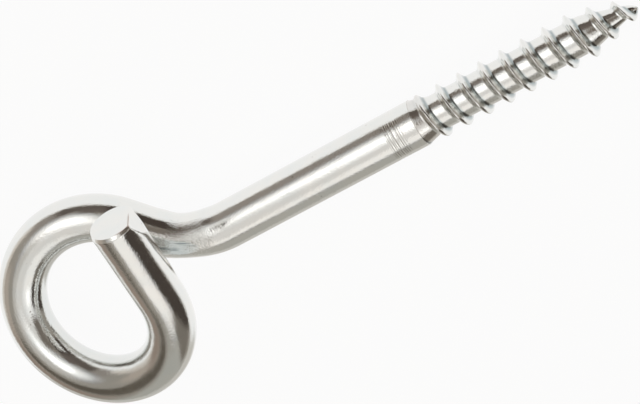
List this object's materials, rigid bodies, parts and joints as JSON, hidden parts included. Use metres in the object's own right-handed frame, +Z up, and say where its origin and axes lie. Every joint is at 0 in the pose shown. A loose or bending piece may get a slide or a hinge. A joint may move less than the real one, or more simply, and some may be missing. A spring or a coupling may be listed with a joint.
{
  "type": "screw hook",
  "caption": "Screw hook of bright round wire: wood-screw thread with a gimlet point, plain shank, side kink, and an open climbing eye whose tail crosses over the neck.",
  "frame": {"origin": "on the shank's axis, at the shoulder where the plain shank ends and the thread starts", "axes": "+X along the shank towards the thread's point, +Y the side to which the kink turns the wire, +Z up as the hook lies on its side, the way the eye climbs"},
  "size_m": [0.1433, 0.0416, 0.0321],
  "materials": {
    "zinc_plate": "bright zinc plate"
  },
  "bodies": {
    "root": {"screw_hook": "zinc_plate"}
  },
  "joints": []
}
